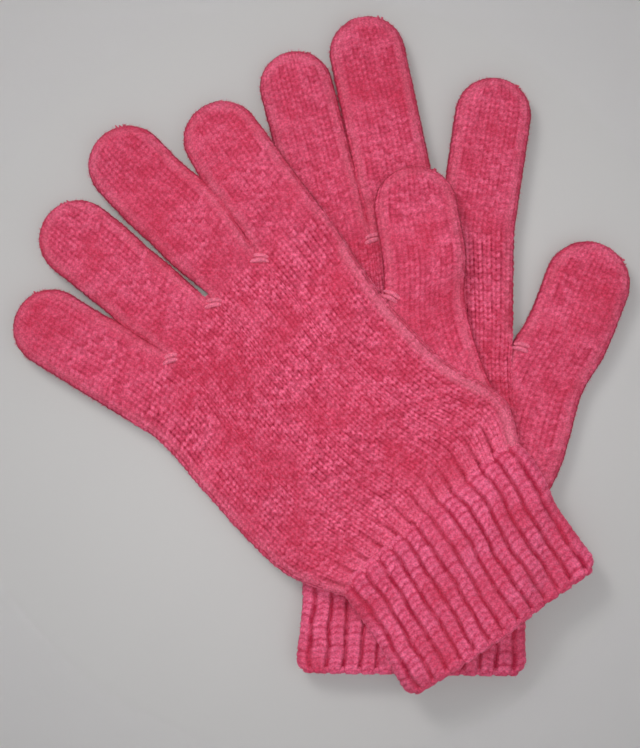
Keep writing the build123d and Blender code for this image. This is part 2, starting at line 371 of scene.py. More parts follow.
def palm_sides(glove, left_count, right_count):
    """The hand's two sides, from the wrist to the outer fingers, as evenly spaced points."""
    points = crotches(glove)
    left = along(glove["little_edge"] + [points[0]], left_count)
    return left, along(glove["palm_edge"] + [points[4]], right_count)


def patch(left, right, bottom, top, columns):
    """A grid filled in between its two sides and its two end rows."""
    up = np.linspace(0, 1, len(left))[:, None, None]
    bottom_share = np.linalg.norm(bottom - bottom[0], axis=1) / np.linalg.norm(bottom[-1] - bottom[0])
    over = (1 - up) * bottom_share[None, :, None] + up * columns[None, :, None]
    plan = (1 - up) * bottom[None] + up * top[None]
    plan = plan + (1 - over) * left[:, None] + over * right[:, None]
    corners = (1 - up) * ((1 - over) * bottom[0] + over * bottom[-1])
    corners = corners + up * ((1 - over) * top[0] + over * top[-1])
    return plan - corners


def carried_on(row, row_inside, reaches):
    """Rows past an end row, away from a row inside, one for each reach in millimetres."""
    way = row - row_inside
    way = way / np.linalg.norm(way, axis=1)[:, None]
    return np.stack([row + way * reach for reach in reaches])


def hand_plan(glove):
    """Flat places of the hand's grid between the wrist, the palm's two sides and the fingers."""
    total = sum(glove[finger].wales for finger in FINGERS)
    columns = np.linspace(0, 1, total * WALE_STEPS + 1)
    courses = round((glove["mid_crotch"][1] - WRIST_V) / COURSE)
    rows = courses * COURSE_STEPS + 1
    left, right = palm_sides(glove, rows, rows)
    top = []
    for finger in FINGERS:
        ends = finger_sides(glove, finger, np.zeros(1))
        row = across_row(*ends, wale_shares(glove[finger].wales), *side_roundness(finger, np.zeros(1)))[0]
        top.append(row if finger == "index" else row[:-1])
    ones = np.ones(1)
    palm_round = ones * glove["palm_edge_round"]
    bottom = across_row(left[:1], right[:1], columns * 2 - 1, ones, palm_round)[0]
    plan = patch(left, right, bottom, np.concatenate(top), columns)
    before = carried_on(plan[0], plan[COURSE_STEPS], HAND_IN_CUFF)
    beyond = carried_on(plan[-1], plan[-1 - COURSE_STEPS], HAND_IN_FINGERS)
    row_course = np.arange(-len(before), rows + len(beyond)) / COURSE_STEPS
    return np.concatenate([before, plan, beyond]), columns * total, row_course


def thumb_plan(glove):
    """Flat places of the thumb's grid, from its root inside the hand to its tip."""
    thumb = glove["thumb"]
    ahead = heading(thumb.lean)
    web = np.array(glove["web"])
    middle = (np.array(glove["root_outer"][-1]) + web) / 2
    straight = thumb.length - thumb.width / 2
    side = across(thumb.lean) * thumb.width / 2
    tip_middle = middle + ahead * straight
    bow = across(thumb.lean) * THUMB_BOW
    root_length = np.linalg.norm(np.diff(np.array(glove["root_outer"]), axis=0), axis=1).sum()
    courses = round((root_length + straight) / COURSE)
    rows = courses * COURSE_STEPS + 1
    left_line = glove["root_inner"] + [web - side * THUMB_WEB_INSET]
    left_line += [middle - side + ahead * THUMB_BOW_AT + bow, tip_middle - side]
    right_line = glove["root_outer"] + [middle + side + ahead * THUMB_BOW_AT + bow, tip_middle + side]
    left, right = along(left_line, rows), along(right_line, rows)
    columns = wale_shares(thumb.wales)
    ones = np.ones(rows)
    plan = across_row(left, right, columns, ones, ones)
    step = (root_length + straight) / (rows - 1)
    cap = tip_cap(left[-1], right[-1], ahead, columns, cap_row_count(thumb, step))
    plan = np.concatenate([plan, cap])
    distance = np.arange(len(plan)) * step - root_length
    return plan, (columns + 1) / 2 * thumb.wales, np.arange(len(plan)) / COURSE_STEPS, distance


def nearest(points, line, strength):
    """For each point, its distance from a line, and the line's strength there."""
    start, run = line[:-1], np.diff(line, axis=0)
    length_squared = np.maximum((run**2).sum(axis=1), 1e-9)
    distances = np.empty(len(points))
    strengths = np.empty(len(points))
    for first in range(0, len(points), BATCH):
        some = points[first:first + BATCH]
        offset = some[:, None] - start[None]
        share = np.clip((offset * run[None]).sum(axis=2) / length_squared[None], 0, 1)
        gap = np.linalg.norm(offset - share[:, :, None] * run[None], axis=2)
        best = gap.argmin(axis=1)
        pick = np.arange(len(some))
        distances[first:first + BATCH] = gap[pick, best]
        mix = share[pick, best]
        strengths[first:first + BATCH] = strength[best] * (1 - mix) + strength[best + 1] * mix
    return distances, strengths


def fullness(plan, lines):
    """Share of the full thickness at each place, falling to nothing at the edges."""
    points = plan.reshape(-1, 2)
    full = np.ones(len(points))
    for line, strength, reach in lines:
        distance, here = nearest(points, line, strength)
        rise = np.sqrt(1 - (1 - np.clip(distance / reach, 0, 1))**2)
        full = np.minimum(full, 1 - here * (1 - rise))
    return full.reshape(plan.shape[:2])


def edge_sheen_and_crease_shade(full):
    """Painted sheen, from 0 to 1, pale as the ends of the pile catching light, which is on the slope to an
    edge. Nearer the edge it falls below 0, which stands for painted shade in a crease."""
    slope = 0.5 * smoothstep(0.0, 0.2, 1 - full) * (1 - smoothstep(0.26, 0.52, 1 - full))
    return slope - 0.65 * smoothstep(0.50, 0.82, 1 - full)


def to_frame(glove, plan):
    """Turn and move flat places from a glove's own frame to the shared one."""
    turn = radians(glove["turn"])
    u, v = plan[..., 0], plan[..., 1]
    x = u * cos(turn) - v * sin(turn) + glove["place"][0]
    y = u * sin(turn) + v * cos(turn) + glove["place"][1]
    return np.stack([x, y], axis=-1)


def unevenness(places):
    """The slight rise and fall of soft fabric, in millimetres."""
    x, y = places[..., 0], places[..., 1]
    waves = [(0.11, 0.05, 0.3, 0.30), (-0.06, 0.13, 1.9, 0.26), (0.21, -0.12, 4.1, 0.17),
             (0.09, 0.29, 2.6, 0.13), (0.33, 0.17, 5.2, 0.08)]
    return sum(size * np.sin(a * x + b * y + phase) for a, b, phase, size in waves)


def knit(wale, course, reach=1.45, lean=20.0):
    """Height of plain knitting, from 0 to 1, and each stitch's own shade, from 0 to 1. A stitch is
    two legs in a V: reach is half a leg's length, and lean is how far it leans, in degrees."""
    column = np.floor(wale).astype(int)
    height = np.zeros_like(wale)
    shade = np.full_like(wale, 0.5)
    for row_step in (-1, 0, 1):
        row = np.floor(course).astype(int) + row_step
        dice = STITCH_DICE[column % DICE_SHAPE[0], row % DICE_SHAPE[1]]
        x = (wale - column - 0.5) * WALE
        y = (course - row - 0.5 + 0.22 * (dice[..., 3] - 0.5)) * COURSE
        for side in (-1, 1):
            leg_dice = dice[..., 0 if side < 0 else 1]
            jitter = leg_dice - 0.5
            centre = side * (LEG_APART + 0.1 * jitter)
            tilt = side * np.radians(lean + 8 * jitter)
            leg_along = y * cos(0.3) + (x - centre) * np.sin(tilt)
            leg_across = (x - centre) * np.cos(tilt) - y * np.sin(tilt)
            inside = 1 - (leg_along / reach)**2 - (leg_across / (LEG_HALF_WIDTH + 0.10 * jitter))**2
            leg = np.sqrt(np.clip(inside, 0, 1)) * (0.86 + 0.42 * jitter) + 0.05 * leg_along
            better = leg > height
            height = np.where(better, leg, height)
            shade = np.where(better, dice[..., 2] * 0.7 + leg_dice * 0.3, shade)
    return np.clip(height, 0, 1), shade


def rib_knit(rib, course):
    """For one-by-one ribbing, the height of its ridges without stitches, from 0 to 1, and then the
    height and the shade of its stitches, as knit gives them."""
    rib = rib + 0.05 * np.sin(0.45 * course + 0.9 * rib) + 0.03 * np.sin(1.1 * course - 1.3 * rib)
    in_rib = rib % 1.0
    ridge = smoothstep(0.0, 0.19, in_rib) * (1 - smoothstep(0.81, 1.0, in_rib))
    in_ridge = np.clip((in_rib - 0.07) / 0.86, 0.0, 0.999)
    stitch, shade = knit(np.floor(rib) + in_ridge, course, reach=1.75, lean=40.0)
    return ridge, stitch, shade


def rib_raise(ridge, stitch):
    """How far ribbing stands above its own middle face, in millimetres."""
    return (ridge * (0.64 + 0.36 * stitch) - 0.57) * RIB_RELIEF


def rib_share(glove, past):
    """How much the ribs stand out, by the distance past the wrist: they start inside the hand."""
    return smoothstep(glove["rib_start"], 12.0, past)


def grid_faces(rows, columns, offset=0, flip=False):
    """The faces of a grid of places, numbered row by row from offset."""
    index = np.arange(rows * columns).reshape(rows, columns) + offset
    faces = np.stack([index[:-1, :-1], index[:-1, 1:], index[1:, 1:], index[1:, :-1]], axis=-1)
    faces = faces.reshape(-1, 4)
    return faces[:, ::-1] if flip else faces


def round_faces(index):
    """The faces between closed rings of numbered places, one ring a row."""
    following = np.roll(index, -1, axis=1)
    return np.stack([index[:-1], following[:-1], following[1:], index[1:]], axis=-1).reshape(-1, 4)


def vertex_normals(places, faces):
    """The way out of the surface at each place, from the four-sided faces around it."""
    corner = places[faces]
    normal = np.cross(corner[:, 2] - corner[:, 0], corner[:, 3] - corner[:, 1])
    total = np.zeros_like(places)
    for side in range(4):
        np.add.at(total, faces[:, side], normal)
    return total / np.maximum(np.linalg.norm(total, axis=1), 1e-9)[:, None]


def make_mesh(name, places, face_groups, uv, values, material):
    """A smooth mesh object from places in millimetres. A face group is an array with one face a
    row; uv has one point for each place, and faces that would run right across it are drawn in."""
    loops = np.concatenate([group.ravel() for group in face_groups])
    sizes = np.concatenate([np.full(len(group), group.shape[1]) for group in face_groups])
    starts = np.concatenate([[0], np.cumsum(sizes)[:-1]])
    mesh = bpy.data.meshes.new(name)
    mesh.vertices.add(len(places))
    mesh.vertices.foreach_set("co", (places * MM).astype(np.float32).ravel())
    mesh.loops.add(len(loops))
    mesh.loops.foreach_set("vertex_index", loops.astype(np.int32))
    mesh.polygons.add(len(sizes))
    mesh.polygons.foreach_set("loop_start", starts.astype(np.int32))
    mesh.update(calc_edges=True)
    mesh.polygons.foreach_set("use_smooth", np.ones(len(sizes), dtype=bool))
    for label, value in values.items():
        attribute = mesh.attributes.new(label, "FLOAT", "POINT")
        attribute.data.foreach_set("value", value.astype(np.float32).ravel())
    corners = []
    for group in face_groups:
        spots = uv[group]
        first = spots[..., 0].min(axis=1, keepdims=True)
        spots[..., 0] = np.where(spots[..., 0] > first + 0.3, first + 0.002, spots[..., 0])
        corners.append(spots.reshape(-1, 2))
    layer = mesh.uv_layers.new(name="OFBake")
    layer.data.foreach_set("uv", np.concatenate(corners).astype(np.float32).ravel())
    mesh.validate()
    mesh.materials.append(material)
    piece = bpy.data.objects.new(name, mesh)
    bpy.context.scene.collection.objects.link(piece)
    return piece


def with_fibres(vertices, normals, uv, values, count):
    """Add loose yarn ends, each one thin blade that stands up from a point of the surface; values
    are what the material reads at each point, which a blade takes from its root."""
    dice = np.random.default_rng(count)
    root = dice.integers(0, len(vertices), count)
    way = normals[root] * 0.75 + dice.normal(0, 0.55, (count, 3))
    way /= np.linalg.norm(way, axis=1)[:, None]
    side = np.cross(way, dice.normal(0, 1, (count, 3)))
    side *= FIBRE_WIDTH / 2 / np.linalg.norm(side, axis=1)[:, None]
    base = vertices[root] - normals[root] * 0.15
    tip = base + way * dice.uniform(*FIBRE_LENGTH, count)[:, None]
    tip[:, 2] = np.maximum(tip[:, 2], FIBRE_LOWEST)
    first = len(vertices)
    vertices = np.concatenate([vertices, base - side, base + side, tip])
    blades = first + np.arange(count)[:, None] + np.arange(3)[None] * count
    spots = uv[root]
    uv = np.concatenate([uv, spots, spots + (0.0004, 0.0), spots + (0.0, 0.0004)])
    grown = {}
    for label, value in values.items():
        grown[label] = np.concatenate([value.ravel(), np.tile(value.ravel()[root], 3)])
    grown["relief"][first:] = 0.8
    return vertices, blades, uv, grown


def pillow(name, shape, stitches, painted_edge_light, fibres, material):
    """A closed piece between two faces over one grid. Its shape is flat places with the heights of
    its top and bottom, and its stitches, as relief and shade, are raised along its own surface."""
    places, top, bottom = shape
    relief, shade = stitches
    rows, columns = top.shape
    count = rows * columns
    front = np.dstack([places, top]).reshape(-1, 3)
    back = np.dstack([places, bottom]).reshape(-1, 3)
    vertices = np.concatenate([front, back])
    index = np.arange(count).reshape(rows, columns)
    ring = np.concatenate([index[0, :-1], index[:-1, -1], index[-1, :0:-1], index[:0:-1, 0]])
    after = np.roll(ring, -1)
    wall = np.stack([ring, ring + count, after + count, after], axis=1)
    faces = np.concatenate([grid_faces(rows, columns), grid_faces(rows, columns, count, True), wall])
    normals = vertex_normals(vertices, faces)
    both = np.concatenate([relief.ravel(), relief.ravel()])
    vertices = vertices + normals * (both - (1 - RELIEF_ABOVE))[:, None] * STITCH_RELIEF
    across_share, up_share = np.meshgrid(np.linspace(0, 1, columns), np.linspace(0, 1, rows))
    u = np.concatenate([0.01 + 0.47 * across_share.ravel(), 0.52 + 0.47 * across_share.ravel()])
    v = np.tile(0.01 + 0.98 * up_share.ravel(), 2)
    edge = np.tile(painted_edge_light.ravel(), 2)
    # Edge values below 0 darken relief and shade: painted shade in the creases. Above 0 they give the
    # painted sheen.
    light = 1 + np.minimum(edge, 0)
    values = {"relief": both * light, "shade": np.tile(shade.ravel(), 2) * light, "painted_edge_light": np.maximum(edge, 0)}
    uv = np.stack([u, v], axis=1)
    vertices, blades, uv, values = with_fibres(vertices, normals, uv, values, fibres)
    return make_mesh(name, vertices, [faces, blades], uv, values, material)


class Ground:
    """Height of what a glove lies on, over a grid of square cells: at first, the flat table."""

    def __init__(self, low, high):
        self.low = np.array(low, float)
        self.shape = tuple(int(n) for n in np.ceil((np.array(high) - low) / DRAPE_CELL))
        self.height = np.zeros(self.shape)

    def cells(self, places):
        cell = ((places - self.low) / DRAPE_CELL).astype(int)
        return np.clip(cell[..., 0], 0, self.shape[0] - 1), np.clip(cell[..., 1], 0, self.shape[1] - 1)

    def rise_over(self, support, footprint):
        """Let a membrane sink on to the support, which counts only under the footprint."""
        obstacle = np.zeros(self.shape)
        for places, tops in support:
            np.maximum.at(obstacle, self.cells(places), tops)
        covered = np.zeros(self.shape)
        for places in footprint:
            covered[self.cells(places)] = 1.0
        for _ in range(DRAPE_MARGIN):
            covered = np.maximum.reduce([covered] + neighbours(covered))
        obstacle = np.where(covered > 0, obstacle + DRAPE_GAP * (obstacle > 0.5), 0.0)
        sag = 2 * obstacle.max() / DRAPE_REACH**2 * DRAPE_CELL**2
        height = obstacle.copy()
        for _ in range(DRAPE_ROUNDS):
            sides = neighbours(height)
            height = np.maximum(obstacle, (sum(sides) - sag) / 4)
        for _ in range(DRAPE_SMOOTHING):
            height = (height + sum(neighbours(height)) / 4) / 2
        self.height = np.maximum(height, 0.0)

    def at(self, places):
        """Its height at places, mixed from the four cells around each."""
        spot = np.clip((places - self.low) / DRAPE_CELL - 0.5, 0, np.array(self.shape) - 1.001)
        cell = spot.astype(int)
        mix = spot - cell
        i, j = cell[..., 0], cell[..., 1]
        a, b = mix[..., 0], mix[..., 1]
        h = self.height
        near = h[i, j] * (1 - a) + h[i + 1, j] * a
        far = h[i, j + 1] * (1 - a) + h[i + 1, j + 1] * a
        return near * (1 - b) + far * b


def neighbours(grid):
    """The four grids of each cell's neighbours."""
    padded = np.pad(grid, 1, mode="edge")
    return [padded[:-2, 1:-1], padded[2:, 1:-1], padded[1:-1, :-2], padded[1:-1, 2:]]


def glove_grids(glove):
    """All the flat grids of one glove."""
    grids = {finger: finger_plan(glove, finger) for finger in FINGERS}
    grids["thumb"] = thumb_plan(glove)
    grids["hand"] = hand_plan(glove)
    return grids


def finger_lines(grids, finger):
    """A finger's outline with the strength of its edge: weak beside the crotches, else full."""
    plan, _, _, distance = grids[finger]
    first = len(FINGER_ROOT_ROWS)
    left, right = side_roundness(finger, distance[first:])
    strength = np.concatenate([left, np.ones(plan.shape[1] - 2), right[::-1]])
    return [(outline_of(plan, first), strength, EDGE_ROUND)]


def hand_lines(glove, grids):
    """The edges that shape the hand: its two sides and the starts of the fingers' sides."""
    left, right = palm_sides(glove, 80, 110)
    folded = glove["palm_edge_round"] > 0
    web_height = glove["web"][1]
    strength = np.ones(len(right)) if folded else smoothstep(web_height, web_height + 9.0, right[:, 1])
    lines = [(left, np.ones(len(left)), EDGE_ROUND)]
    lines.append((right, strength, FOLD_ROUND if folded else EDGE_ROUND))
    for finger in FINGERS:
        lines += finger_lines(grids, finger)
    return lines


def shaped(glove, ground, plan, full, thickness, drop=0.0):
    """The shared-frame places of a grid and the heights of its top and bottom."""
    places = to_frame(glove, plan)
    wave = unevenness(places)
    middle = ground.at(places) + TABLE_GAP + (thickness - drop) / 2
    half = np.maximum((thickness - drop) / 2 * full, THINNEST)
    return places, middle + half + wave * full, middle - half


def bend_across(piece, joint_name, parent, child, before, after):
    """Bake a piece's transform into its mesh; the joint, its bodies and the zone from before to after it, in
    millimetres, are not used.
    """
    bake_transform(piece)


def finger_joint(glove, finger):
    """The joint of a finger and the body that it turns, or None for a finger that stays."""
    label = glove["name"] + "_" + finger
    names = [joint["name"] for joint in frame["joints"]]
    if label + "_bend" not in names:
        return None
    return label + "_bend", label + ("" if finger == "thumb" else "_fingertip")


def thickness_along(distance):
    """A finger's thickness by the distance from its base, where it is as thin as the hand."""
    return HAND_THICKNESS + (FINGER_THICKNESS - HAND_THICKNESS) * smoothstep(0, 18, distance)


def finger_knit(wale, course):
    """Plain knitting as on the fingers and the thumb, where fuller pile softens its relief."""
    relief, shade = knit(*np.meshgrid(wale, course))
    return RELIEF_MIDDLE + (relief - RELIEF_MIDDLE) * FINGER_RELIEF, shade


def palm_fold_distance(glove, plan):
    """How far each place of a grid is from the palm's edge on the thumb's side, and that edge."""
    line = along(glove["palm_edge"], 60)
    away, _ = nearest(plan.reshape(-1, 2), line, np.ones(len(line)))
    return away.reshape(plan.shape[:2]), line


def build_finger(glove, ground, grids, finger, material):
    """A finger in one piece, in place of the CAD's finger, and of its fingertip where it has a joint."""
    plan, wale, course, distance = grids[finger]
    full = fullness(plan, finger_lines(grids, finger))
    thickness = thickness_along(distance)[:, None]
    sink = (1 - smoothstep(-2.6, -0.2, distance))[:, None]
    places, top, bottom = shaped(glove, ground, plan, full * (1 - 0.35 * sink), thickness)
    name = glove["name"] + "_" + finger + "_finger"
    piece = pillow(name + "_knit", (places, top, bottom), finger_knit(wale, course), edge_sheen_and_crease_shade(full),
                   FIBRES["finger"], material)
    nodes = [name]
    joint = finger_joint(glove, finger)
    if joint:
        nodes.append(name + "tip")
        bend_across(piece, joint[0], glove["root"], joint[1], *FINGER_BEND)
    else:
        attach(piece, glove["root"])
    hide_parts(*nodes)
    return places, top


def build_hand(glove, ground, grids, material):
    """The hand, whose plain knitting turns into ribs towards the wrist."""
    plan, wale, course = grids["hand"]
    full = fullness(plan, hand_lines(glove, grids))
    rows = np.arange(len(course))
    sink = 1 - smoothstep(0, 2, rows) + smoothstep(len(rows) - 3, len(rows) - 1, rows)
    places, top, bottom = shaped(glove, ground, plan, full * (1 - 0.5 * sink[:, None]), HAND_THICKNESS)
    relief, shade = knit(*np.meshgrid(wale, course))
    past = -course * COURSE
    ribs = np.meshgrid(wale / wale[-1] * RIBS, (past + CUFF_OVERLAP) / RIB_COURSE)
    ridge, stitch, rib_shade = rib_knit(*ribs)
    share = rib_share(glove, past)[:, None]
    ribbed = rib_raise(ridge, stitch) / STITCH_RELIEF + 1 - RELIEF_ABOVE
    relief = relief * (1 - share) + ribbed * share
    shade = shade * (1 - share) + rib_shade * share
    painted_edge_light = edge_sheen_and_crease_shade(full)
    # A pale band along the fold of the palm over the thumb: painted sheen.
    if glove["palm_edge_round"] > 0:
        away, _ = palm_fold_distance(glove, plan)
        painted_edge_light = np.maximum(painted_edge_light, smoothstep(0.4, 2.2, away) * (1 - smoothstep(3.0, 6.0, away)))
    name = glove["name"] + "_hand"
    piece = pillow(name + "_knit", (places, top, bottom), (relief, shade), painted_edge_light, FIBRES["hand"], material)
    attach(piece, glove["root"])
    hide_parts(name)
    return places, top


def build_thumb(glove, ground, grids, material):
    """The thumb, sunk under the fold of the palm where it comes out of the hand."""
    plan, wale, course, distance = grids["thumb"]
    outline = outline_of(plan)
    full = fullness(plan, [(outline, np.ones(len(outline)), EDGE_ROUND)])
    away, palm_line = palm_fold_distance(glove, plan)
    inside = plan[..., 0] < np.interp(plan[..., 1], palm_line[:, 1], palm_line[:, 0])
    drop = np.where(inside, 1.0, 1 - smoothstep(0.0, 17.0, away))
    drop = glove["crease_drop"] * np.maximum(drop, 1 - smoothstep(-8.0, 14.0, distance)[:, None])
    hidden = np.where(inside, smoothstep(0.0, 2.5, away), 0.0)
    thickness = thickness_along(distance)[:, None]
    places, top, bottom = shaped(glove, ground, plan, full * (1 - 0.4 * hidden), thickness, drop)
    name = glove["name"] + "_thumb"
    piece = pillow(name + "_knit", (places, top, bottom), finger_knit(wale, course), edge_sheen_and_crease_shade(full),
                   FIBRES["thumb"], material)
    bend_across(piece, name + "_bend", glove["root"], name, *THUMB_BEND)
    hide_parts(name)
    return places, top


def cuff_sides():
    """The left and right sides of the cuff's rows, from inside the hand to the mouth."""
    mouth = np.array([CUFF_DRIFT, WRIST_V - CUFF_LENGTH])
    half = across(-CUFF_SKEW) * CUFF_HALF_WIDTH
    start = WRIST_V + CUFF_OVERLAP
    bow = np.array([CUFF_BOW, 0.0])
    middle = (np.array([0.0, WRIST_V]) + mouth) / 2
    left = [(-CUFF_HALF_START, start), (-HALF_WRIST, WRIST_V), middle + bow - half, mouth - half]
    right = [(CUFF_HALF_START, start), (HALF_WRIST, WRIST_V), middle - bow + half, mouth + half]
    return along(left, CUFF_ROWS), along(right, CUFF_ROWS)


class Cuff:
    """The flattened tube that a glove's ribbing, its bound edge and its elastic follow."""

    def __init__(self, glove, ground):
        self.glove, self.ground = glove, ground
        self.left, self.right = cuff_sides()
        self.past = np.linspace(-CUFF_OVERLAP, CUFF_LENGTH, CUFF_ROWS)
        self.step = self.past[1] - self.past[0]
        share = np.linspace(-1, 1, RIBS * RIB_STEPS + 1)
        flat = CUFF_HALF_WIDTH - EDGE_ROUND
        quarter = EDGE_ROUND * AROUND_EDGE
        turn = np.clip((np.abs(share) * (flat + quarter) - flat) / quarter, 0, 1) * pi / 2
        self.place = there_and_back(wrapped(share, CUFF_HALF_WIDTH, 1.0), 1)
        self.side = there_and_back(np.cos(turn), -1)
        rib = (share + 1) / 2 * RIBS
        self.rib = np.concatenate([rib, 2 * RIBS - rib[-2:0:-1]])
        self.face_columns = len(share)

    def ring(self, row, inset):
        """Points around the cuff at a row, drawn in by inset; row may pass the mouth."""
        whole = min(int(row), CUFF_ROWS - 2)
        mix = row - whole
        a = self.left[whole] * (1 - mix) + self.left[whole + 1] * mix
        b = self.right[whole] * (1 - mix) + self.right[whole + 1] * mix
        short = max(MOUTH_CORNER - (CUFF_ROWS - 1 - row) * self.step, 0.0)
        corner = MOUTH_CORNER - sqrt(max(MOUTH_CORNER**2 - short**2, 1.0))
        squeeze = 1 - (inset + corner * np.abs(self.place)**9) / CUFF_HALF_WIDTH
        spot = to_frame(self.glove, (a + b) / 2 + np.outer(self.place * squeeze, (b - a) / 2))
        distance = -CUFF_OVERLAP + row * self.step
        thickness = CUFF_THICKNESS + CUFF_GAPE * smoothstep(20.0, 45.0, distance)
        under = self.ground.at(spot)
        lifted = smoothstep(-5.0, 12.0, distance)
        base = np.maximum(under, self.glove["cuff_lift"]) * lifted + under * (1 - lifted)
        wave = unevenness(spot) * 0.8
        wave = np.where(self.side > 0, wave, wave * 0.3) * abs(self.side)
        middle = base + TABLE_GAP + CUFF_WELT_GAP + thickness / 2
        return np.column_stack([spot, middle + self.side * (thickness / 2 - inset) + wave])


def there_and_back(values, sign):
    """Values across the top of a tube, and back across its underside times the sign."""
    return np.concatenate([values, sign * values[-2:0:-1]])


def end_faces(row, count, turned):
    """The faces that close a flattened tube between the top and the underside of one of its rings."""
    top = row[:count]
    low = np.concatenate([top[:1], row[count:][::-1], top[-1:]])
    strip = np.stack([top[1:-2], low[1:-2], low[2:-1], top[2:-1]], axis=1)
    corners = np.array([[top[0], low[1], top[1]], [top[-2], low[-2], top[-1]]])
    return [strip[:, ::-1], corners[:, ::-1]] if turned else [strip, corners]


def build_cuff(glove, cuff, material):
    """The ribbed cuff: its outer face, the lip of its mouth, and its inner face as deep as it shows."""
    last = CUFF_ROWS - 1
    outer = [cuff.ring(row, 0.0) for row in range(CUFF_ROWS)]
    lip_turns = np.linspace(0, pi, 9)[1:-1]
    lip = [cuff.ring(last + sin(t) * LIP_REACH / cuff.step, CUFF_WALL / 2 * (1 - cos(t))) for t in lip_turns]
    inner_rows = last - np.arange(0, round(CUFF_DEPTH / cuff.step), 3)
    inner = [cuff.ring(row, CUFF_WALL) for row in inner_rows]
    rings = np.array(outer + lip + inner)
    rows, columns = rings.shape[:2]
    course = np.linspace(0, CUFF_COURSES, CUFF_ROWS)
    course = np.concatenate([course, CUFF_COURSES + 0.15 * np.arange(1, rows - CUFF_ROWS + 1)])
    ridge, stitch, shade = rib_knit(*np.meshgrid(cuff.rib, course))
    fade = np.concatenate([rib_share(glove, cuff.past), np.linspace(1.0, 0.5, len(lip)),
                           np.full(len(inner), 0.45)])[:, None]
    lift = rib_raise(ridge, stitch) * fade + (stitch - 0.5) * 0.6 * (1 - fade)
    lift[:CUFF_ROWS] -= CUFF_SINK * (1 - smoothstep(-CUFF_OVERLAP, -0.5, cuff.past))[:, None]
    index = np.arange(rows * columns).reshape(rows, columns)
    faces = round_faces(index)[:, ::-1]
    vertices = rings.reshape(-1, 3)
    normals = vertex_normals(vertices, faces)
    vertices = vertices + normals * lift.reshape(-1)[:, None]
    groups = [faces] + end_faces(index[0], cuff.face_columns, False)
    groups += end_faces(index[-1], cuff.face_columns, True)
    u = 0.01 + 0.98 * np.arange(columns) / columns
    v = 0.01 + 0.98 * np.arange(rows) / rows
    uv = np.stack(np.meshgrid(u, v), axis=-1).reshape(-1, 2)
    # The colour ramp reads this relief: painted shade in the grooves, painted highlight on the ribs' and
    # stitches' tops.
    pile = ridge * (0.42 + 0.58 * stitch) * fade + stitch * (1 - fade)
    values = {"relief": pile, "shade": shade, "painted_edge_light": np.zeros_like(pile)}
    vertices, blades, uv, values = with_fibres(vertices, normals, uv, values, FIBRES["cuff"])
    name = glove["name"] + "_cuff"
    piece = make_mesh(name + "_rib", vertices, groups + [blades], uv, values, material)
    if glove["name"] == "lower":
        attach(piece, glove["root"])
    else:
        bend_across(piece, "upper_cuff_fold", "upper_hand", "upper_cuff", *CUFF_BEND)
    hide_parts(name)


def tube(path, radius, sides=6, closed=False, taper=None):
    """Places and faces of a thin tube along a path in millimetres."""
    path = np.array(path, float)
    run = np.roll(path, -1, axis=0) - np.roll(path, 1, axis=0) if closed else np.gradient(path, axis=0)
    run /= np.linalg.norm(run, axis=1)[:, None]
    side = np.cross(run, NO_THREAD)
    side /= np.linalg.norm(side, axis=1)[:, None]
    up = np.cross(side, run)
    angles = np.linspace(0, 2 * pi, sides, endpoint=False)
    size = radius * (np.ones(len(path)) if taper is None else np.array(taper))
    round_out = np.cos(angles)[None, :, None] * side[:, None] + np.sin(angles)[None, :, None] * up[:, None]
    places = (path[:, None] + round_out * size[:, None, None]).reshape(-1, 3)
    index = np.arange(len(path) * sides).reshape(len(path), sides)
    if closed:
        index = np.concatenate([index, index[:1]])
    faces = round_faces(index)
    if not closed:
        ends = [index[0], index[-1][::-1]]
        caps = [[end[0], end[k], end[k + 1], end[k + 2]] for end in ends for k in range(1, sides - 2, 2)]
        faces = np.concatenate([faces, np.array(caps)])
    return places, faces


def tube_piece(name, parts, material):
    """One object of several thin tubes, each shaded by its own number."""
    places = np.concatenate([part[0] for part in parts])
    counts = [len(part[0]) for part in parts]
    faces = np.concatenate([part[1] + sum(counts[:number]) for number, part in enumerate(parts)])
    shade = np.concatenate([np.full(count, rng.random()) for count in counts])
    values = {"relief": np.full(len(places), 0.7), "shade": shade, "painted_edge_light": np.zeros(len(places))}
    low, high = places.min(axis=0), places.max(axis=0)
    uv = 0.01 + 0.98 * ((places - low) / np.maximum(high - low, 1e-6))[:, :2]
    return make_mesh(name, places, [faces], uv, values, material)


def build_cuff_edge(glove, cuff, material):
    """The bound edge round the cuff's mouth, a little fuller over each rib."""
    path = cuff.ring(CUFF_ROWS - 1.0, CUFF_WALL / 2)
    rib = np.linspace(0, 2 * RIBS, len(path), endpoint=False) % 1.0
    ridge = smoothstep(0.0, 0.3, rib) * (1 - smoothstep(0.7, 1.0, rib))
    wobble = 0.08 * np.sin(np.arange(len(path)) * 1.9)
    part = tube(path, 1.0, sides=10, closed=True, taper=1.2 + 0.22 * ridge + wobble)
    name = glove["name"] + "_cuff_welt"
    piece = tube_piece(name + "_edge", [part], material)
    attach(piece, glove["cuff_body"])
    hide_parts(name)


def build_elastic(glove, cuff, material):
    """Elastic threads inside the cuff's wall."""
    spacing = (CUFF_LENGTH - ELASTIC_INSET) / (ELASTIC_THREADS + 1)
    parts = []
    for number in range(ELASTIC_THREADS):
        row = CUFF_ROWS - 1 - (ELASTIC_INSET + spacing * (number + 0.5)) / cuff.step
        parts.append(tube(cuff.ring(row, CUFF_WALL / 2)[::4], ELASTIC_RADIUS, closed=True))
    name = glove["name"] + "_cuff_elastic"
    piece = tube_piece(name + "_thread", parts, material)
    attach(piece, glove["cuff_body"])
    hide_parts(name)


def surface_height(surface, spots):
    """Height of the nearest knitted place to each spot."""
    places, top = surface
    gaps = [((places - spot)**2).sum(axis=-1) for spot in spots]
    return np.array([top[np.unravel_index(gap.argmin(), gap.shape)] for gap in gaps])


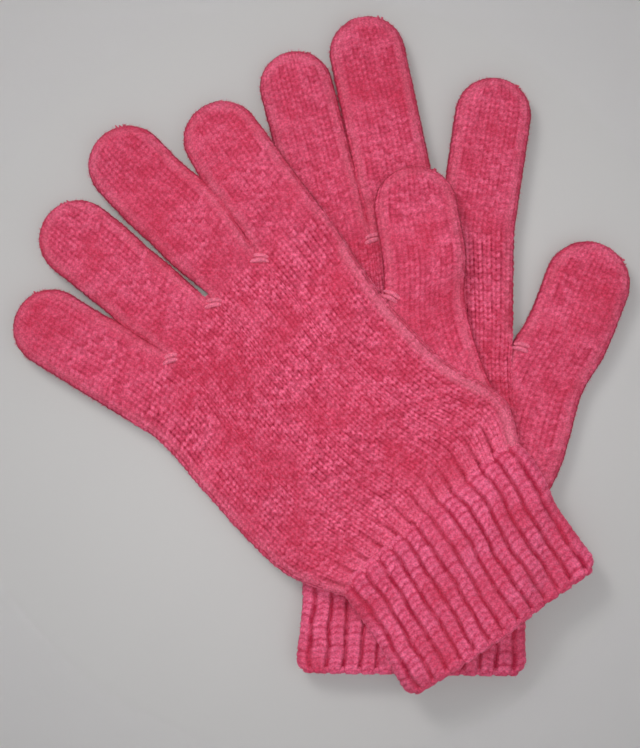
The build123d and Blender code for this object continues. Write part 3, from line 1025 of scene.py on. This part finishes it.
def build_crotch_stitches(glove, hand, material):
    """Short closing stitches across the hand at each crotch."""
    spots = crotches(glove)[1:4] + [np.array(glove["web"]) + (3.0, 0.5)]
    parts = []
    for spot, lean in zip(spots, glove["closing_leans"]):
        for number in range(CLOSING_STRANDS):
            middle = spot - heading(lean) * (0.4 + 1.7 * number) + across(lean) * rng.uniform(-0.6, 0.6)
            bend = np.linspace(-1, 1, 9)
            reach = rng.uniform(2.7, 3.4)
            flat = middle + np.outer(bend * reach, across(lean + rng.uniform(-7, 7)))
            flat = flat + np.outer(1 - bend**2, heading(lean)) * 0.5
            places = to_frame(glove, flat)
            heights = surface_height(hand, places) + glove["closing_rise"] - bend**2
            taper = np.sqrt(1 - 0.75 * bend**2)
            parts.append(tube(np.column_stack([places, heights]), CLOSING_RADIUS, sides=8, taper=taper))
    name = glove["name"] + "_crotch_stitches"
    piece = tube_piece(name + "_yarn", parts, material)
    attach(piece, glove["root"])
    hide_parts(name)


def build_tail(glove, grids, finger, ground, material):
    """The tuft of yarn ends on the thumb side of a fingertip."""
    width, lean = glove[finger].width, glove[finger].lean
    plan = grids[finger][0]
    tip_middle = (plan[-1, 0] + plan[-1, -1]) / 2 - heading(lean) * (width / 2 * 0.7)
    tail_lean = lean + TAIL_LEAN
    parts = []
    for _ in range(TAIL_STRANDS):
        way = heading(tail_lean + rng.uniform(-6, 6))
        reach = rng.uniform(0.2, 0.8)
        run = np.linspace(0, 1, 6)
        flat = tip_middle + np.outer(width / 2 - 1.4 + run * (reach + 1.4), way)
        flat = flat + np.outer(run**2 * rng.uniform(-0.7, 0.7), across(tail_lean))
        places = to_frame(glove, flat)
        rise = ground.at(places) + TABLE_GAP + FINGER_THICKNESS / 2 + rng.uniform(-0.8, 0.8)
        rise = rise + run**2 * rng.uniform(-0.8, 0.6)
        parts.append(tube(np.column_stack([places, rise]), TAIL_RADIUS, taper=1 - 0.5 * run))
    name = glove["name"] + "_" + finger + "_tail"
    piece = tube_piece(name + "_tuft", parts, material)
    joint = finger_joint(glove, finger)
    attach(piece, joint[1] if joint else glove["root"])
    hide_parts(name)


def knit_material(name, dark, mid, light, patch, painted_edge_light):
    """Soft brushed yarn: painted shade between the stitches and a painted highlight on their tops, each
    stitch its own tone, slow patches, and a painted sheen where its fibres stand up along an edge."""
    material = bpy.data.materials.new(name)
    material.use_nodes = True
    nodes, links = material.node_tree.nodes, material.node_tree.links
    shader = nodes["Principled BSDF"]
    surface = {"Roughness": 0.92, "Specular IOR Level": 0.15, "Sheen Weight": 0.18, "Sheen Roughness": 0.4,
               "Sheen Tint": (1.0, 0.55, 0.64, 1.0)}
    for label, value in surface.items():
        shader.inputs[label].default_value = value
    where = nodes.new("ShaderNodeTexCoord").outputs["Object"]

    def attribute(label):
        node = nodes.new("ShaderNodeAttribute")
        node.attribute_name = label
        return node.outputs["Fac"]

    def noise(scale, detail):
        node = nodes.new("ShaderNodeTexNoise")
        node.inputs["Scale"].default_value = scale
        node.inputs["Detail"].default_value = detail
        links.new(where, node.inputs["Vector"])
        return node.outputs["Fac"]

    def ranged(value, low, high, to_low, to_high):
        node = nodes.new("ShaderNodeMapRange")
        for place, number in enumerate((low, high, to_low, to_high), start=1):
            node.inputs[place].default_value = number
        links.new(value, node.inputs[0])
        return node.outputs[0]

    def mixed(kind, share, first, second):
        node = nodes.new("ShaderNodeMix")
        node.data_type = "RGBA"
        node.blend_type = kind
        for socket, value in ((node.inputs[0], share), (node.inputs[6], first), (node.inputs[7], second)):
            if isinstance(value, (float, tuple)):
                socket.default_value = value
            else:
                links.new(value, socket)
        return node.outputs[2]

    # The ramp paints shade between the stitches and a highlight on their lit tops, by the relief.
    ramp = nodes.new("ShaderNodeValToRGB")
    steps = ramp.color_ramp.elements
    steps[0].position, steps[1].position = 0.12, 0.98
    steps.new(0.62)
    for step, shade in zip(steps, (dark, mid, light)):
        step.color = (*shade, 1)
    links.new(attribute("relief"), ramp.inputs[0])
    stitch = ranged(attribute("shade"), 0.35, 1.0, 0.0, 0.5)
    colour = mixed("MIX", stitch, ramp.outputs[0], (*light, 1.0))
    colour = mixed("MIX", ranged(noise(62.0, 1.0), 0.40, 0.72, 0.0, 0.6), colour, (*patch, 1.0))
    # pile is the share of painted sheen along the edges, patchy by noise.
    pile = nodes.new("ShaderNodeMath")
    pile.operation = "MULTIPLY"
    links.new(attribute("painted_edge_light"), pile.inputs[0])
    links.new(ranged(noise(110.0, 2.0), 0.32, 0.62, 0.25, 0.75), pile.inputs[1])
    colour = mixed("MIX", pile.outputs[0], colour, (*painted_edge_light, 1.0))
    fibre = ranged(noise(1500.0, 3.0), 0.35, 0.70, 0.72, 1.2)
    grey = nodes.new("ShaderNodeCombineColor")
    for socket in grey.inputs:
        links.new(fibre, socket)
    colour = mixed("MULTIPLY", 1.0, colour, grey.outputs[0])
    links.new(colour, shader.inputs["Base Color"])
    bump = nodes.new("ShaderNodeBump")
    bump.inputs["Strength"].default_value = 0.55
    bump.inputs["Distance"].default_value = 0.00035
    links.new(noise(1900.0, 4.0), bump.inputs["Height"])
    links.new(bump.outputs[0], shader.inputs["Normal"])
    return material


def floor_material():
    """A plain, pale grey table."""
    material = bpy.data.materials.new("floor")
    material.use_nodes = True
    shader = material.node_tree.nodes["Principled BSDF"]
    shader.inputs["Base Color"].default_value = (0.42, 0.405, 0.395, 1.0)
    shader.inputs["Roughness"].default_value = 0.7
    return material


def build_glove(glove, ground, materials):
    """All the pieces of one glove; returns the places and top heights of its knitted faces."""
    grids = glove_grids(glove)
    surfaces = [build_hand(glove, ground, grids, materials["plain"])]
    for finger in FINGERS:
        surfaces.append(build_finger(glove, ground, grids, finger, materials["plain"]))
    surfaces.append(build_thumb(glove, ground, grids, materials["plain"]))
    cuff = Cuff(glove, ground)
    build_cuff(glove, cuff, materials["rib"])
    build_cuff_edge(glove, cuff, materials["rib"])
    build_elastic(glove, cuff, materials["elastic"])
    build_crotch_stitches(glove, surfaces[0], materials["closing"])
    for finger in FINGERS + ["thumb"]:
        build_tail(glove, grids, finger, ground, materials["tail"])
    rings = np.array([cuff.ring(row, 0.0) for row in range(0, CUFF_ROWS, 3)])
    surfaces.append((rings[..., :2], rings[..., 2]))
    return surfaces


def add_light(name, beside, size, watts):
    """A round lamp turned to the aim. Its place is how far beside the aim it is, and its height."""
    place = (AIM[0] + beside[0], AIM[1] + beside[1], beside[2])
    light = bpy.data.lights.new(name, "AREA")
    light.shape = "DISK"
    light.size = size
    light.energy = watts
    lamp = bpy.data.objects.new(name, light)
    lamp.location = place
    lamp.rotation_euler = (Vector(AIM) - Vector(place)).to_track_quat("-Z", "Y").to_euler()
    bpy.context.scene.collection.objects.link(lamp)
    return light


def build_stage():
    """The pale table, the soft light and the camera nearly straight above."""
    bpy.ops.mesh.primitive_plane_add(size=6.0, location=(0, 0, -0.0003))
    floor = bpy.context.object
    floor.name = "floor"
    floor.data.materials.append(floor_material())
    add_light("key", (-0.62, 0.82, 0.90), size=0.45, watts=7.4)
    pool = add_light("pool", (0.0, 0.0, 1.10), size=0.16, watts=0.125)
    pool.spread = radians(POOL_SPREAD)
    add_light("fill", (0.9, -0.5, 1.2), size=1.2, watts=2.0)
    world = bpy.data.worlds.new("studio")
    world.use_nodes = True
    sky = world.node_tree.nodes["Background"]
    sky.inputs["Color"].default_value = (0.93, 0.96, 1.0, 1.0)
    sky.inputs["Strength"].default_value = 0.55
    bpy.context.scene.world = world
    bpy.context.scene.view_settings.view_transform = "Standard"
    camera = bpy.data.cameras.new("camera")
    camera.sensor_fit = "VERTICAL"
    camera.sensor_height = 24.0
    camera.lens = 55.35
    eye = bpy.data.objects.new("camera", camera)
    tilt = radians(CAMERA_TILT)
    away = Vector((0, -sin(tilt), cos(tilt)))
    eye.location = Vector(AIM) + away * CAMERA_DISTANCE
    eye.rotation_euler = (-away).to_track_quat("-Z", "Y").to_euler()
    bpy.context.scene.collection.objects.link(eye)
    bpy.context.scene.camera = eye


def yarn_materials():
    """A material for each kind of yarn. Its colours are the painted shade between the stitches, the yarn's,
    the painted highlight of its lit tops, then of its slow patches and of the painted sheen along its edges."""
    # dark and rib_dark are painted shade, light and rib_light painted highlights; the colour after patch is
    # painted sheen.
    dark, mid, light = (0.25, 0.009, 0.030), (0.52, 0.047, 0.102), (0.73, 0.125, 0.225)
    patch, painted_edge_light = (0.47, 0.026, 0.062), (0.64, 0.14, 0.215)
    rib_dark, rib_mid, rib_light = (0.34, 0.012, 0.044), (0.53, 0.05, 0.115), (0.73, 0.125, 0.235)
    return {
        "plain": knit_material("plain_knit", dark, mid, light, patch, painted_edge_light),
        "rib": knit_material("rib_knit", rib_dark, rib_mid, rib_light, patch, painted_edge_light),
        "closing": knit_material("closing_yarn", mid, (0.66, 0.12, 0.20), (0.75, 0.165, 0.26), painted_edge_light, painted_edge_light),
        "tail": knit_material("tail_yarn", patch, (0.53, 0.046, 0.098), (0.62, 0.08, 0.14), patch, painted_edge_light),
        "elastic": knit_material("elastic_thread", dark, (0.42, 0.04, 0.09), (0.5, 0.07, 0.13), dark, painted_edge_light),
    }


def main():
    """Build the stage and the lower glove, then drape the upper glove over it."""
    build_stage()
    materials = yarn_materials()
    low, high = np.array(cad_box)[:, :2] * 1000
    ground = Ground(low - DRAPE_BORDER, high + DRAPE_BORDER)
    lower = build_glove(LOWER, ground, materials)
    footprint = [to_frame(UPPER, plan[0]) for plan in glove_grids(UPPER).values()]
    left, right = cuff_sides()
    share = np.linspace(0, 1, 60)[None, :, None]
    footprint.append(to_frame(UPPER, left[:, None] * (1 - share) + right[:, None] * share))
    ground.rise_over(lower, footprint)
    build_glove(UPPER, ground, materials)


main()
